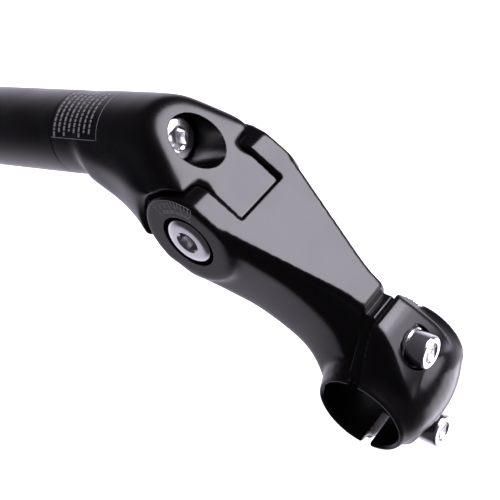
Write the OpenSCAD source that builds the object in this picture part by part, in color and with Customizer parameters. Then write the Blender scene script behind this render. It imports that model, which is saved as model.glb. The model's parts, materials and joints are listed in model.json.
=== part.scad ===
// Adjustable quill handlebar stem.
// The quill axis is +Z, the bar lies along Y and the extension points to +X.
// The origin is on the quill axis, level with the minimum-insertion line.

/* [Quill] */
// Outside diameter of the quill tube
quill_d = 25.4; // [24:0.1:28.6]
// Bore of the quill tube
quill_bore_d = 17.4; // [14:0.1:18]
// Insertion line down to the middle of the slanted quill end
quill_insertion = 68; // [50:1:90]
// Insertion line up to the seam under the head
quill_exposed = 62; // [45:1:90]
// Diameter of the turned spigot that is pressed into the head
spigot_d = 21.4; // [19:0.1:22]
// Length of the spigot
spigot_len = 20; // [12:1:26]
// Slope of the slanted quill end
wedge_slope = 35; // [25:1:45]

/* [Head] */
// How much wider than the quill tube the head's collar is
collar_extra = 0.4; // [0.2:0.1:1]
// Seam under the head up to the pivot axis
head_height = 50; // [46:1:60]
// Quill axis forward to the pivot axis
pivot_reach = 22.2; // [20:0.1:26]
// Width over the two shoulders and over the two prongs
fork_w = 35.5; // [32:0.5:42]
// Width of the tongue between the prongs
tongue_w = 18.2; // [14:0.1:20]
// Radius of the rounded tongue front
tongue_r = 15.3; // [14:0.1:15.8]
// Slope of the flat top of the head
head_facet_slope = 35; // [28:1:40]
// Pivot axis up to the flat top of the head, square to it
head_facet_h = 14; // [12.5:0.1:14.5]
// Diameter of the hex key access bore
access_d = 15; // [14.5:0.1:16]
// Pivot axis down to the seat of the expander bolt
seat_drop = 16; // [14:0.5:20]
// Thickness of the web under the expander bolt
seat_web = 6; // [4:0.5:8]
// Pivot axis down to where the cheeks start to flare from the collar
cheek_drop = 42; // [36:1:48]
// Pivot axis back to the middle of the cheeks' round lower edge
cheek_back = 7; // [5:0.5:8]
// Pivot axis down to the middle of the cheeks' round lower edge
cheek_down = 10.5; // [10:0.5:12]
// Radius of the cheeks' round lower edge
cheek_r = 10; // [9:0.1:10.5]
// Pivot axis back to where the tongue's round front starts
tongue_back = 6; // [4:0.5:7]

/* [Pivot] */
// Width across flats of the hex key for the pivot and expander bolts
key_w = 6; // [5:1:6]
// Depth of the pivot bolt's socket
pivot_key_depth = 3; // [2:0.5:3.5]
// Diameter of the pivot bolt
pivot_bolt_d = 8; // [6:1:10]
// Diameter of the pivot bolt head
pivot_head_d = 15; // [13:0.5:16]
// Height of the pivot bolt head
pivot_head_h = 4.5; // [3.5:0.1:5]
// How far the pivot bolt head stands out of the prong
pivot_head_proud = 0.5; // [0:0.1:1]
// Thickness of the pivot bolt washer
pivot_washer_t = 1.2; // [0.8:0.1:1.5]
// Diameter of the counterbore round the pivot bolt head
pivot_counterbore_d = 17.7; // [16.5:0.1:19]
// Outside diameter of the steel bush in the tongue
bush_d = 12; // [11:0.1:13.5]
// Outside diameter of the friction rings
ring_d = 23; // [18:0.5:25]
// Thickness of the friction rings
ring_t = 1.2; // [1:0.1:1.6]
// Outside diameter of the pivot nut's body
nut_d = 12; // [11:0.1:13]
// Diameter of the pivot nut's flange
nut_flange_d = 16; // [14:0.5:18]
// Thickness of the pivot nut's flange
nut_flange_t = 1.6; // [1:0.1:2]

/* [Extension arm] */
// Pivot axis to the middle of the bar
arm_len = 70; // [66:1:90]
// Angle of the arm above level in the modelled position
arm_angle = 29; // [5:1:55]
// Radius of the prong discs about the pivot axis
prong_r = 15.6; // [15.4:0.1:15.9]
// Slope of the flat top of the arm against the arm's own line
arm_facet_tilt = 9.5; // [5:0.5:11]
// Pivot axis up to the flat top of the arm, square to it
arm_facet_h = 15; // [14.5:0.1:15.3]
// Half width of the flat top at the neck
neck_half_w = 5.5; // [4.5:0.1:7]
// Half width of the waist under the flat top
waist_half_w = 10.2; // [9.5:0.1:12]

/* [Bar clamp] */
// Diameter of the handlebar
bar_d = 25.4; // [22.2:0.1:26]
// Width of the clamp along the bar
clamp_w = 35; // [30:0.5:42]
// Radius of the crowned clamp at mid width
clamp_r = 18.4; // [17.6:0.1:20]
// Radius of the crowned clamp at its ends
clamp_rim_r = 14.6; // [14.4:0.1:16]
// Turn of the clamp's split from the arm's own line
split_angle = 45; // [35:1:55]
// Height of the gap between the arm's jaw and the faceplate
split_gap = 2.8; // [2:0.1:3.5]
// Diameter of the clamp bolts
clamp_bolt_d = 6; // [5:1:6]
// Length of the clamp bolts under the head
clamp_bolt_len = 20; // [18:1:22]
// Diameter of the clamp bolt heads
clamp_head_d = 10; // [9:0.1:10.5]
// Height of the clamp bolt heads
clamp_head_h = 6; // [5:0.1:6.5]
// Bar axis to each clamp bolt axis
clamp_bolt_reach = 18; // [17.5:0.1:19]
// Middle of the split up to the washer seats
clamp_seat_h = 8.6; // [7:0.1:10]
// Diameter of the clamp bolt washers
clamp_washer_d = 11; // [10.5:0.1:12]
// Diameter of the counterbores round the clamp bolt heads
clamp_counterbore_d = 12.4; // [12.2:0.1:13]
// Thickness of the clamp bolt washers
clamp_washer_t = 1; // [0.6:0.1:1.5]
// Width of the rib that carries the bolts
rib_w = 13.6; // [13:0.1:16]
// Width across flats of the hex key for the clamp bolts
clamp_key_w = 5; // [4:1:5]
// Depth of the clamp bolts' sockets
clamp_key_depth = 3.5; // [2.5:0.5:4]
// Bar axis up the split to the tip of the faceplate's upper flange
upper_flange_reach = 29; // [27:0.5:30]
// Bar axis down the split to the tip of the faceplate's lower flange
lower_flange_reach = 25; // [24.5:0.5:27]
// Width of the flanges at their tips
flange_tip_w = 11; // [9:0.5:13]
// Half width of the pad at its tip
pad_tip_half_w = 4.6; // [4:0.1:6]

/* [Expander] */
// Diameter of the expander bolt
expander_d = 8; // [7:0.5:8]
// Diameter of the expander bolt head
expander_head_d = 13; // [12:0.1:13.5]
// Height of the expander bolt head
expander_head_h = 8; // [6:0.1:9]
// Depth of the expander bolt's socket
expander_key_depth = 4.5; // [3:0.5:5]
// Diameter of the washer under the expander bolt
expander_washer_d = 14.4; // [13.5:0.1:14.4]
// Thickness of the washer under the expander bolt
expander_washer_t = 1.6; // [1:0.1:2]
// Diameter of the expander wedge
wedge_d = 25; // [23:0.1:25.2]
// Height of the straight foot of the wedge
wedge_foot = 16; // [10:1:24]
// How far the bolt stands out of the wedge
bolt_stand_out = 4; // [1:1:10]

/* [Fits] */
// Clearance round a shaft that turns or slides in its hole
run_gap = 0.05; // [0.02:0.01:0.08]
// Clearance round a bolt in a plain drilled hole
hole_gap = 0.3; // [0.2:0.05:0.5]
// Gap between the tongue and each prong
side_gap = 0.3; // [0.2:0.05:0.5]
// Gap between a friction ring and its prong
ring_gap = 0.1; // [0.05:0.01:0.15]
// Gap between the prong discs and the head's recess
recess_gap = 0.7; // [0.5:0.1:1]
// Gap between the tongue front and the arm's crotch
crotch_gap = 1.4; // [0.7:0.1:1.6]
// Gap between faces that only meet
face_gap = 0.05; // [0.02:0.01:0.1]

/* [Edges] */
// Bevel on the outer edge of the head's recess
recess_bevel = 1.6; // [0.8:0.1:2]
// Bevel on bolt heads
head_bevel = 0.8; // [0.4:0.1:1.2]
// Bevel on washers and rings
small_bevel = 0.3; // [0.1:0.05:0.4]
// Bevel round the foot of the wedge
wedge_bevel = 1.2; // [0.5:0.1:2]

/* [Hidden] */

$fn = 96;
coarse = 32;
slice_t = 0.02;
far = 200;

seam_z = quill_exposed;
pivot_z = seam_z + head_height;
seat_z = pivot_z - seat_drop;
recess_r = prong_r + recess_gap;
crotch_r = tongue_r + crotch_gap;
prong_in = tongue_w / 2 + side_gap;
prong_out = fork_w / 2;
wedge_rise = quill_d / 2 * tan(wedge_slope);
wedge_bottom = -quill_insertion - wedge_rise - wedge_foot;
cheek_step = cheek_drop / 4;
collar_d = quill_d + collar_extra;
ring_seat = ring_t - side_gap + ring_gap;
counterbore_depth = pivot_head_h + pivot_washer_t - pivot_head_proud;
pivot_seat_y = -prong_out + counterbore_depth;
bolt_recess = 1;
flange_root = bar_d / 2 - 0.7;
flange_t = 1.5;
lug_h = 13;
lug_end = clamp_bolt_reach + clamp_bolt_d;
pad_reach = upper_flange_reach + 1;
clamp_r_crown = (pow(clamp_w / 2, 2) + pow(clamp_r - clamp_rim_r, 2)) / (2 * (clamp_r - clamp_rim_r));
jaw_n = -split_gap / 2;
plate_n = split_gap / 2;

black = [0.05, 0.05, 0.055];
steel = [0.8, 0.8, 0.82];
grey = [0.55, 0.55, 0.57];

// Height of the arm's flat top above the arm's own line, at u along that line
function facet_w(u) = (arm_facet_h + u * sin(arm_facet_tilt)) / cos(arm_facet_tilt);

// Each slice of the arm: place along it, half width of the top, half width
// of the flank, height of the flank's upper edge and height of the underside
slices = [
    [2, prong_out - 1.4, prong_out, 13.2, 0.2 - prong_r],
    [16, waist_half_w + 3, prong_out - 2.4, 14.6, -13.6],
    [27, neck_half_w + 4.2, waist_half_w + 2.2, 14.2, -12.2],
    [38, neck_half_w + 0.9, waist_half_w + 0.5, 13.4, -11.2],
    [47, neck_half_w, waist_half_w, 12.5, -11],
    [arm_len - 16, neck_half_w + 0.5, waist_half_w + 1, 11, -12],
    [arm_len - 9, neck_half_w + 5, clamp_w / 2 - 1.5, 5, -14]];

// Put children at the pivot, with X along a line at the given slope
module at_pivot(slope) {
    translate([pivot_reach, 0, pivot_z]) rotate([0, -slope, 0]) children();
}

// Put children at the bar, with X along the split and Z out of the faceplate
module at_clamp() {
    at_pivot(arm_angle) translate([arm_len, 0, 0]) rotate([0, split_angle, 0]) children();
}

// Cylinder along Y between two places
module y_cylinder(r, y0, y1) {
    translate([0, y1, 0]) rotate([90, 0, 0]) cylinder(r = r, h = y1 - y0);
}

// Turned body from its outline of [radius, height] points
module turned(outline) {
    rotate_extrude() polygon(outline);
}

// Flat ring with bevelled edges
module washer(d_out, d_in, t) {
    b = small_bevel;
    turned([[d_in / 2, 0], [d_out / 2 - b, 0], [d_out / 2, b], [d_out / 2, t - b],
        [d_out / 2 - b, t], [d_in / 2, t]]);
}

// Socket screw that stands on Z = 0, with its shank below and its head above
module socket_screw(d, len, head_d, head_h, key_w, key_depth) {
    b = head_bevel;
    difference() {
        turned([[0, -len], [d / 2 - b, -len], [d / 2, -len + b], [d / 2, 0], [head_d / 2 - b / 3, 0],
            [head_d / 2, b / 3], [head_d / 2, head_h - b], [head_d / 2 - b, head_h], [0, head_h]]);
        translate([0, 0, head_h - key_depth])
            cylinder(d = key_w / cos(30), h = key_depth + 1, $fn = 6);
    }
}

// One upright slice of the arm
module arm_slice(s) {
    top = facet_w(s[0]);
    translate([s[0], 0, 0]) rotate([90, 0, 90]) linear_extrude(slice_t)
        polygon([[-s[1], top], [s[1], top], [s[2], s[3]], [s[2], s[4] + 3], [s[2] - 3, s[4]],
            [3 - s[2], s[4]], [-s[2], s[4] + 3], [-s[2], s[3]]]);
}

// Crowned ring round the bar
module crowned_ring() {
    rotate([90, 0, 0]) rotate_extrude() intersection() {
        translate([bar_d / 2, -clamp_w / 2]) square([clamp_r, clamp_w]);
        translate([clamp_r - clamp_r_crown, 0]) circle(r = clamp_r_crown, $fn = 2 * $fn);
    }
}

// Bolt holes through the clamp, one at each side of the bar
module at_clamp_bolts() {
    for (side = [-1, 1]) translate([side * clamp_bolt_reach, 0, 0]) children();
}

module quill_tube() {
    color(black) difference() {
        union() {
            translate([0, 0, -quill_insertion - wedge_rise])
                cylinder(d = quill_d, h = seam_z + quill_insertion + wedge_rise);
            translate([0, 0, seam_z - 1]) cylinder(d = spigot_d, h = spigot_len + 1 - face_gap);
        }
        translate([0, 0, -far]) cylinder(d = quill_bore_d, h = 2 * far);
        translate([0, 0, -quill_insertion]) rotate([0, wedge_slope, 0])
            translate([-far / 2, -far / 2, -far]) cube(far);
    }
}

module stem_head() {
    color(black) difference() {
        union() {
            difference() {
                union() {
                    translate([0, 0, seam_z + face_gap]) cylinder(d = collar_d, h = head_height + quill_d);
                    hull() {
                        translate([0, 0, pivot_z - cheek_drop + cheek_step])
                            cylinder(d = collar_d, h = cheek_drop, $fn = 2 * coarse);
                        at_pivot(0) rotate([90, 0, 0])
                            cylinder(r = recess_r, h = fork_w, center = true, $fn = 3 * coarse);
                    }
                }
                // rounded front of the tongue
                at_pivot(0) difference() {
                    translate([-tongue_back, -fork_w, -far / 2]) cube([far, 2 * fork_w, far]);
                    y_cylinder(tongue_r, -tongue_w, tongue_w);
                }
            }
            hull() {
                translate([0, 0, pivot_z - cheek_drop])
                    cylinder(d = collar_d, h = 2 * cheek_step, $fn = 2 * coarse);
                at_pivot(0) translate([-cheek_back, 0, -cheek_down]) rotate([90, 0, 0])
                    cylinder(r = cheek_r, h = fork_w, center = true, $fn = 3 * coarse);
            }
        }
        // flat top
        at_pivot(head_facet_slope) translate([-far / 2, -far / 2, head_facet_h]) cube(far);
        // recesses for the prong discs
        at_pivot(0) {
            y_cylinder(recess_r, tongue_w / 2, prong_out + 1);
            y_cylinder(recess_r, -prong_out - 1, -tongue_w / 2);
        }
        for (side = [0, 1]) mirror([0, side, 0]) at_pivot(0) translate([0, prong_out, 0])
            rotate([90, 0, 0]) translate([0, 0, -0.01])
                cylinder(r1 = recess_r + recess_bevel, r2 = recess_r, h = recess_bevel);
        // pivot bush and friction ring seats
        at_pivot(0) {
            y_cylinder(bush_d / 2, -tongue_w, tongue_w);
            y_cylinder(ring_d / 2 + face_gap, tongue_w / 2 - ring_seat, tongue_w / 2 + 1);
            y_cylinder(ring_d / 2 + face_gap, -tongue_w / 2 - 1, ring_seat - tongue_w / 2);
        }
        // access bore, bolt hole and socket for the quill spigot
        translate([0, 0, seat_z]) cylinder(d = access_d, h = far);
        translate([0, 0, seam_z]) cylinder(d = expander_d + 2 * hole_gap, h = far);
        translate([0, 0, seam_z - 1]) cylinder(d = quill_bore_d, h = seat_z - seat_web - seam_z + 1);
        translate([0, 0, seam_z - 1]) cylinder(d = spigot_d, h = spigot_len + 1);
    }
}

module expander_bolt() {
    color(steel) translate([0, 0, seat_z + expander_washer_t + face_gap])
        socket_screw(expander_d, seat_z + expander_washer_t + face_gap - wedge_bottom + bolt_stand_out,
            expander_head_d, expander_head_h, key_w, expander_key_depth);
}

module expander_washer() {
    color(steel) translate([0, 0, seat_z])
        washer(expander_washer_d, expander_d + 2 * hole_gap, expander_washer_t);
}

module expander_wedge() {
    b = wedge_bevel;
    color(grey) difference() {
        translate([0, 0, wedge_bottom]) turned([[0, 0], [wedge_d / 2 - b, 0], [wedge_d / 2, b],
            [wedge_d / 2, wedge_foot + 2 * wedge_rise], [0, wedge_foot + 2 * wedge_rise]]);
        translate([0, 0, -quill_insertion - face_gap]) rotate([0, wedge_slope, 0])
            translate([-far / 2, -far / 2, 0]) cube(far);
        translate([0, 0, wedge_bottom - 1])
            cylinder(r = expander_d / 2 + run_gap, h = wedge_foot + 4 * wedge_rise);
    }
}

module pivot_bush() {
    color(grey) at_pivot(0) translate([0, tongue_w / 2, 0]) rotate([90, 0, 0])
        washer(bush_d, pivot_bolt_d + 2 * run_gap, tongue_w);
}

// Friction ring let into one side of the tongue
module friction_ring(side) {
    color(grey) at_pivot(0) mirror([0, side > 0 ? 0 : 1, 0])
        translate([0, tongue_w / 2 - ring_seat + ring_t, 0]) rotate([90, 0, 0])
            washer(ring_d, bush_d + 2 * face_gap, ring_t);
}

module friction_ring_right() {
    friction_ring(-1);
}

module friction_ring_left() {
    friction_ring(1);
}

module extension_arm() {
    color(black) difference() {
        union() {
            at_pivot(arm_angle) intersection() {
                y_cylinder(prong_r, -prong_out, prong_out);
                rotate([0, -arm_facet_tilt, 0])
                    translate([-far / 2, -far / 2, arm_facet_h - far]) cube(far);
            }
            difference() {
                union() {
                    at_pivot(arm_angle) for (i = [0:len(slices) - 2]) hull() {
                        arm_slice(slices[i]);
                        arm_slice(slices[i + 1]);
                    }
                    at_clamp() crowned_ring();
                    // lug for the lower bolt
                    at_clamp() translate([bar_d / 2 - 2, -rib_w / 2, -lug_h])
                        cube([lug_end - bar_d / 2 + 2, rib_w, lug_h]);
                }
                at_clamp() translate([-far / 2, -far / 2, jaw_n]) cube(far);
            }
            // pad that carries the upper side of the faceplate
            at_clamp() translate([0, 0, jaw_n - 1]) linear_extrude(plate_n - jaw_n + 1 - face_gap)
                polygon([[-pad_reach, -pad_tip_half_w], [-pad_reach, pad_tip_half_w],
                    [8 - pad_reach, pad_tip_half_w + 4], [-bar_d / 2, clamp_w / 2 - 1.5],
                    [-bar_d / 2, 1.5 - clamp_w / 2], [8 - pad_reach, -pad_tip_half_w - 4]]);
        }
        // slot for the tongue
        at_pivot(arm_angle) y_cylinder(crotch_r, -prong_in, prong_in);
        // bolt hole and counterbore in the right prong, nut seat in the left one
        at_pivot(0) {
            y_cylinder(pivot_bolt_d / 2 + hole_gap, -fork_w, 0);
            y_cylinder(pivot_counterbore_d / 2, -fork_w, pivot_seat_y);
            y_cylinder(nut_d / 2, 0, fork_w);
            y_cylinder(nut_flange_d / 2 + face_gap, prong_out - nut_flange_t, fork_w);
        }
        // handlebar seat and threaded holes
        at_clamp() {
            y_cylinder(bar_d / 2, -clamp_w, clamp_w);
            at_clamp_bolts() translate([0, 0, clamp_seat_h + clamp_washer_t - clamp_bolt_len - 1])
                cylinder(r = clamp_bolt_d / 2 + run_gap, h = far);
        }
    }
}

module pivot_bolt() {
    under_head = pivot_seat_y - pivot_washer_t - face_gap;
    color(steel) at_pivot(0) translate([0, under_head, 0]) rotate([90, 0, 0])
        socket_screw(pivot_bolt_d, prong_out - bolt_recess - under_head, pivot_head_d, pivot_head_h,
            key_w, pivot_key_depth);
}

module pivot_washer() {
    color(steel) at_pivot(0) translate([0, pivot_seat_y, 0]) rotate([90, 0, 0])
        washer(pivot_head_d + 1, pivot_bolt_d + 2 * hole_gap, pivot_washer_t);
}

module pivot_nut() {
    color(steel) at_pivot(0) translate([0, prong_out, 0]) rotate([90, 0, 0])
        turned([[pivot_bolt_d / 2 + run_gap, 0], [nut_flange_d / 2 - small_bevel, 0],
            [nut_flange_d / 2, small_bevel], [nut_flange_d / 2, nut_flange_t], [nut_d / 2, nut_flange_t],
            [nut_d / 2, prong_out - prong_in], [pivot_bolt_d / 2 + run_gap, prong_out - prong_in]]);
}

module bar_faceplate() {
    color(black) at_clamp() difference() {
        union() {
            crowned_ring();
            // flanges that flare from the rib to the rims
            for (tip = [-upper_flange_reach, lower_flange_reach]) hull() {
                translate([0, 0, plate_n]) linear_extrude(flange_t) polygon([
                    [tip, -flange_tip_w / 2], [tip, flange_tip_w / 2],
                    [sign(tip) * flange_root, clamp_w / 2 - 1],
                    [sign(tip) * flange_root, 1 - clamp_w / 2]]);
                translate([sign(tip) * clamp_bolt_reach - flange_tip_w / 2, -rib_w / 2, 0])
                    cube([flange_tip_w, rib_w, clamp_seat_h]);
            }
            // rib that carries the bolt seats
            intersection() {
                translate([-lug_end, -rib_w / 2, 0]) cube([2 * lug_end, rib_w, clamp_r]);
                y_cylinder(clamp_bolt_reach + 4, -clamp_w, clamp_w);
                translate([-far / 2, -far / 2, 0]) cube([far, far, clamp_seat_h]);
            }
        }
        translate([-far / 2, -far / 2, plate_n - far]) cube(far);
        y_cylinder(bar_d / 2, -clamp_w, clamp_w);
        at_clamp_bolts() {
            translate([0, 0, -far / 2]) cylinder(r = clamp_bolt_d / 2 + hole_gap, h = far);
            translate([0, 0, clamp_seat_h]) cylinder(d = clamp_counterbore_d, h = far);
        }
    }
}

// Clamp bolt with its head against its washer
module clamp_bolt(side) {
    color(steel) at_clamp()
        translate([side * clamp_bolt_reach, 0, clamp_seat_h + clamp_washer_t + face_gap])
            socket_screw(clamp_bolt_d, clamp_bolt_len, clamp_head_d, clamp_head_h, clamp_key_w,
                clamp_key_depth);
}

module upper_clamp_bolt() {
    clamp_bolt(-1);
}

module lower_clamp_bolt() {
    clamp_bolt(1);
}

// Washer under one clamp bolt
module clamp_washer(side) {
    color(steel) at_clamp() translate([side * clamp_bolt_reach, 0, clamp_seat_h])
        washer(clamp_washer_d, clamp_bolt_d + 2 * hole_gap, clamp_washer_t);
}

module upper_clamp_washer() {
    clamp_washer(-1);
}

module lower_clamp_washer() {
    clamp_washer(1);
}

quill_tube();
stem_head();
expander_bolt();
expander_washer();
expander_wedge();
pivot_bush();
friction_ring_right();
friction_ring_left();
extension_arm();
pivot_bolt();
pivot_washer();
pivot_nut();
bar_faceplate();
upper_clamp_bolt();
lower_clamp_bolt();
upper_clamp_washer();
lower_clamp_washer();
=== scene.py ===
"""Looks of the adjustable quill stem: black painted forgings, chrome screws, studio light and camera."""

import json
import math

import bpy
from mathutils import Matrix, Quaternion, Vector


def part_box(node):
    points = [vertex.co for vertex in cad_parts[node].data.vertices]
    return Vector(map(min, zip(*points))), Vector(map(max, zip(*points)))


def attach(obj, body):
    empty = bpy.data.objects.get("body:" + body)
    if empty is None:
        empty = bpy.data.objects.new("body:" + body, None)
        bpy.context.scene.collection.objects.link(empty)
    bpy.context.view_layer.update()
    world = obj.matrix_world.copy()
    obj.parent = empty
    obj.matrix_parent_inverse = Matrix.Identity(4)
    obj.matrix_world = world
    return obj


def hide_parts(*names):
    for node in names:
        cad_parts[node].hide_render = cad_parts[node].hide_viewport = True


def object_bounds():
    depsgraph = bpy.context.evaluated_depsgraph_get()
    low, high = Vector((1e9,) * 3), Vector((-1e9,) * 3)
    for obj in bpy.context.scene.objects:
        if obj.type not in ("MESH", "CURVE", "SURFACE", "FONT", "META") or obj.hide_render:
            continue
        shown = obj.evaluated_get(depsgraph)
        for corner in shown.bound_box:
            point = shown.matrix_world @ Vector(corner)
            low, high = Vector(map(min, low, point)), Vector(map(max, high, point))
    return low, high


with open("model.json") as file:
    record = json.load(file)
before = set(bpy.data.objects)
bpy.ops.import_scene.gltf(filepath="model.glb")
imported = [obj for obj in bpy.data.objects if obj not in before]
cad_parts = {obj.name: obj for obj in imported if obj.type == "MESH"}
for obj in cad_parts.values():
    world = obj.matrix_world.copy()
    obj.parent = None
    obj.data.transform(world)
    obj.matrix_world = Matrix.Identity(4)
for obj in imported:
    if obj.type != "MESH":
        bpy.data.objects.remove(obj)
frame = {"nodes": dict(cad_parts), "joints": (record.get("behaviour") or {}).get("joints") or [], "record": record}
cad_low, cad_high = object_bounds()
bpy.ops.object.select_all(action="DESELECT")

MM = 0.001
MERGE = 0.002 * MM
GRID_MERGE = 0.0001 * MM
X, Y, Z = Vector((1, 0, 0)), Vector((0, 1, 0)), Vector((0, 0, 1))

# ---------------------------------------------------------------- places taken from the frame
joints = {joint["name"]: joint for joint in frame["joints"]}
mounts = {mount["name"]: mount for mount in frame["record"]["mounts"]}
pivot = Vector(joints["arm_pivot"]["pos_m"])
bar = Vector(mounts["handlebar"]["pos_m"])
plate_out = Vector(joints["faceplate_travel"]["axis"])
split_down = Y.cross(plate_out)
arm_line = (bar - pivot).normalized()
arm_up = arm_line.cross(Y)


def placed(origin, x_axis, z_axis):
    """The matrix that puts a piece at an origin, with its X and Z along two square directions."""
    y_axis = z_axis.cross(x_axis)
    turn = Matrix((x_axis, y_axis, z_axis)).transposed().to_4x4()
    return Matrix.Translation(origin) @ turn


def tipped(place, angle, axis="Y"):
    """A place turned by an angle in degrees about one of its own axes."""
    return place @ Matrix.Rotation(math.radians(angle), 4, axis)


def moved(place, x=0.0, y=0.0, z=0.0):
    """A place moved along its own axes, in millimetres."""
    return place @ Matrix.Translation((x * MM, y * MM, z * MM))


at_quill = placed(Vector(), X, Z)
at_pivot = placed(pivot, arm_line, -Y)
at_arm = placed(pivot, arm_line, arm_up)
at_clamp = placed(bar, split_down, plate_out)
at_screw = placed(pivot, X, -Y)
level_pivot = placed(pivot, X, Z)


# ---------------------------------------------------------------- mesh work
def select_only(piece):
    """Selects one piece alone and makes it the active one."""
    bpy.ops.object.select_all(action="DESELECT")
    piece.select_set(True)
    bpy.context.view_layer.objects.active = piece


def start_edit(piece):
    """Opens one piece alone in edit mode."""
    select_only(piece)
    bpy.ops.object.mode_set(mode="EDIT")


def end_edit():
    """Goes back to object mode."""
    bpy.ops.object.mode_set(mode="OBJECT")


def apply_modifier(piece, kind, **settings):
    """Adds one modifier and applies it."""
    modifier = piece.modifiers.new(kind.title(), kind)
    for name, value in settings.items():
        setattr(modifier, name, value)
    select_only(piece)
    bpy.ops.object.modifier_apply(modifier=modifier.name)


def settle(piece, place):
    """Puts the place into the mesh, so that the object itself sits at the origin."""
    piece.data.transform(place @ piece.matrix_basis)
    piece.matrix_basis = Matrix.Identity(4)


def close_mesh(piece):
    """Merges doubled points and turns all faces outwards."""
    start_edit(piece)
    bpy.ops.mesh.select_all(action="SELECT")
    bpy.ops.mesh.remove_doubles(threshold=MERGE)
    bpy.ops.mesh.normals_make_consistent(inside=False)
    end_edit()


def turned(name, outline, place, sides=96):
    """A turned piece from its outline of (radius, height). A closed outline makes a ring."""
    ring = outline[0] == outline[-1]
    radius, height = outline[0]
    bpy.ops.object.select_all(action="DESELECT")
    bpy.ops.mesh.primitive_circle_add(
        vertices=sides,
        radius=radius * MM,
        location=(0, 0, 0),
        fill_type="NOTHING" if ring else "NGON",
    )
    piece = bpy.context.object
    piece.name = piece.data.name = name
    bpy.ops.object.mode_set(mode="EDIT")
    bpy.ops.mesh.select_all(action="SELECT")
    bpy.ops.transform.translate(value=(0, 0, height * MM))
    for next_radius, next_height in outline[1:]:
        if ring:
            bpy.ops.mesh.extrude_edges_move()
        else:
            bpy.ops.mesh.extrude_region_move()
        bpy.ops.transform.translate(value=(0, 0, (next_height - height) * MM))
        ratio = next_radius / radius
        bpy.ops.transform.resize(value=(ratio, ratio, 1), center_override=(0, 0, 0))
        radius, height = next_radius, next_height
    end_edit()
    close_mesh(piece)
    settle(piece, place)
    return piece


def cutter_of(outline, place, sides=96):
    """A turned form that is used up by a cut or a join."""
    return turned("cutter", outline, place, sides)


def box_of(low, high, place):
    """A box between two corners, to cut or join with."""
    low, high = Vector(low) * MM, Vector(high) * MM
    bpy.ops.object.select_all(action="DESELECT")
    bpy.ops.mesh.primitive_cube_add(size=1, location=(low + high) / 2, scale=high - low)
    box = bpy.context.object
    bpy.context.view_layer.update()
    settle(box, place)
    return box


def combine(piece, other, operation):
    """Cuts or joins a piece with another one, which is used up."""
    apply_modifier(piece, "BOOLEAN", object=other, operation=operation, solver="MANIFOLD")
    bpy.data.objects.remove(other)


def cut(piece, cutter):
    """Takes a form out of a piece."""
    combine(piece, cutter, "DIFFERENCE")


def join(piece, other):
    """Adds a form to a piece."""
    combine(piece, other, "UNION")


def soften(piece, width, angle=30, segments=3):
    """Rounds every edge sharper than an angle."""
    apply_modifier(
        piece,
        "BEVEL",
        width=width * MM,
        segments=segments,
        limit_method="ANGLE",
        angle_limit=math.radians(angle),
        harden_normals=False,
        use_clamp_overlap=True,
    )


def finish_piece(piece, body, material, slot, *nodes, sharp=40):
    """Paints a piece, lets it ride on its body and hides the plain nodes that it stands for."""
    piece.data.materials.clear()
    piece.data.materials.append(material)
    select_only(piece)
    bpy.ops.object.shade_smooth_by_angle(angle=math.radians(sharp))
    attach(piece, body)
    if nodes:
        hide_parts(*nodes)


def copy_of(node, name):
    """A merged copy of a CAD node's mesh as a new piece."""
    piece = bpy.data.objects.new(name, frame["nodes"][node].data.copy())
    bpy.context.scene.collection.objects.link(piece)
    start_edit(piece)
    bpy.ops.mesh.select_all(action="SELECT")
    bpy.ops.mesh.remove_doubles(threshold=MERGE)
    end_edit()
    return piece


# ---------------------------------------------------------------- smooth forms
def step_up(low, high, value):
    """0 below low, 1 above high and smooth between."""
    t = min(max((value - low) / (high - low), 0.0), 1.0)
    return t * t * (3 - 2 * t)


def curve(points, x):
    """The value at x of a smooth curve through (place, value) points."""
    points = sorted(points)
    if x <= points[0][0]:
        return points[0][1]
    if x >= points[-1][0]:
        return points[-1][1]
    slopes = []
    for i in range(len(points)):
        before, after = points[max(i - 1, 0)], points[min(i + 1, len(points) - 1)]
        slopes.append((after[1] - before[1]) / (after[0] - before[0]))
    i = max(k for k in range(len(points) - 1) if points[k][0] <= x)
    (x0, y0), (x1, y1) = points[i], points[i + 1]
    span = x1 - x0
    t = (x - x0) / span
    rise = t * t * (3 - 2 * t)
    start_pull = (t - 2 * t * t + t**3) * span * slopes[i]
    end_pull = (t**3 - t * t) * span * slopes[i + 1]
    return y0 + (y1 - y0) * rise + start_pull + end_pull


def arc_through(start, pull, end, steps):
    """Points of a line bent towards a third point, from start to just before end."""
    points = []
    for i in range(steps):
        t = i / steps
        points.append(
            tuple(
                (1 - t) ** 2 * a + 2 * t * (1 - t) * b + t * t * c
                for a, b, c in zip(start, pull, end)
            )
        )
    return points


def mirrored_outline(half):
    """A closed outline from its right half, which runs from the top middle to the bottom middle."""
    return half + [(-y, z) for y, z in reversed(half[1:-1])]


def rolled(name, rings, place):
    """A smooth body from rings of (x, y, z) points: a grid is rolled round them and closed."""
    columns, rows = len(rings[0]), len(rings)
    bpy.ops.object.select_all(action="DESELECT")
    bpy.ops.mesh.primitive_grid_add(x_subdivisions=columns, y_subdivisions=rows - 1, size=1)
    piece = bpy.context.object
    piece.name = piece.data.name = name
    for index, vertex in enumerate(piece.data.vertices):
        row, column = divmod(index, columns + 1)
        vertex.co = Vector(rings[row][column % columns]) * MM
    start_edit(piece)
    bpy.ops.mesh.select_all(action="SELECT")
    bpy.ops.mesh.remove_doubles(threshold=GRID_MERGE)
    bpy.ops.mesh.select_all(action="DESELECT")
    bpy.ops.mesh.select_mode(type="EDGE")
    bpy.ops.mesh.select_non_manifold()
    bpy.ops.mesh.edge_face_add()
    bpy.ops.mesh.select_mode(type="VERT")
    end_edit()
    close_mesh(piece)
    settle(piece, place)
    return piece


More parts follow.
